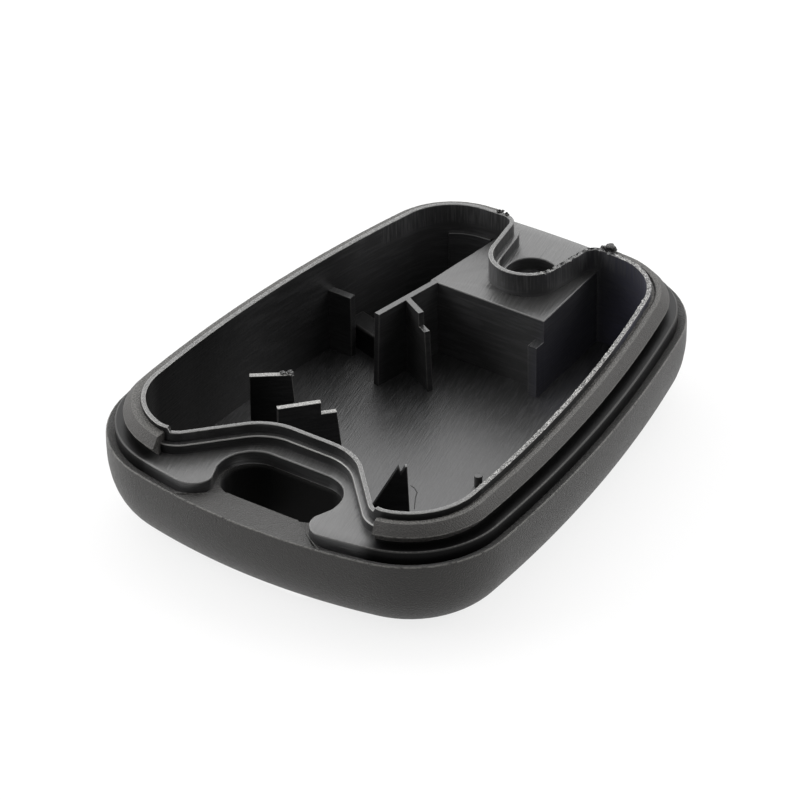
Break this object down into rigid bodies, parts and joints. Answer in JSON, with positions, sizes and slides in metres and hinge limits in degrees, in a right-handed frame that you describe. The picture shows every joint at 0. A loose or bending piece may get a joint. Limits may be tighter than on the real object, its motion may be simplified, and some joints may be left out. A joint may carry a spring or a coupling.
{
  "type": "remote key case half",
  "caption": "Open lower half of a remote key case: a curved shell with an inner tray, a key ring slot, board ribs and a seat for the blade and its screw.",
  "frame": {"origin": "on the flat underside, under the middle of the case", "axes": "+X across the case, +Y from the key ring slot to the end where the blade leaves, +Z out of the open side"},
  "size_m": [0.0432, 0.0565, 0.0122],
  "materials": {
    "matte_shell": "fine grained matte, near black",
    "satin_tray": "satin, near black",
    "grained_band": "rough cut edge, near black"
  },
  "bodies": {
    "root": {"outer_shell": "matte_shell", "inner_tray": "satin_tray", "blade_seat": "satin_tray", "left_rim_band": "grained_band", "right_rim_band": "grained_band", "side_rib": "satin_tray", "stepped_rib": "satin_tray", "wall_rib": "satin_tray", "tee_rib": "satin_tray", "corner_tab": "satin_tray", "notched_gusset": "satin_tray", "stop_block": "satin_tray", "floor_pip": "satin_tray"}
  },
  "joints": []
}
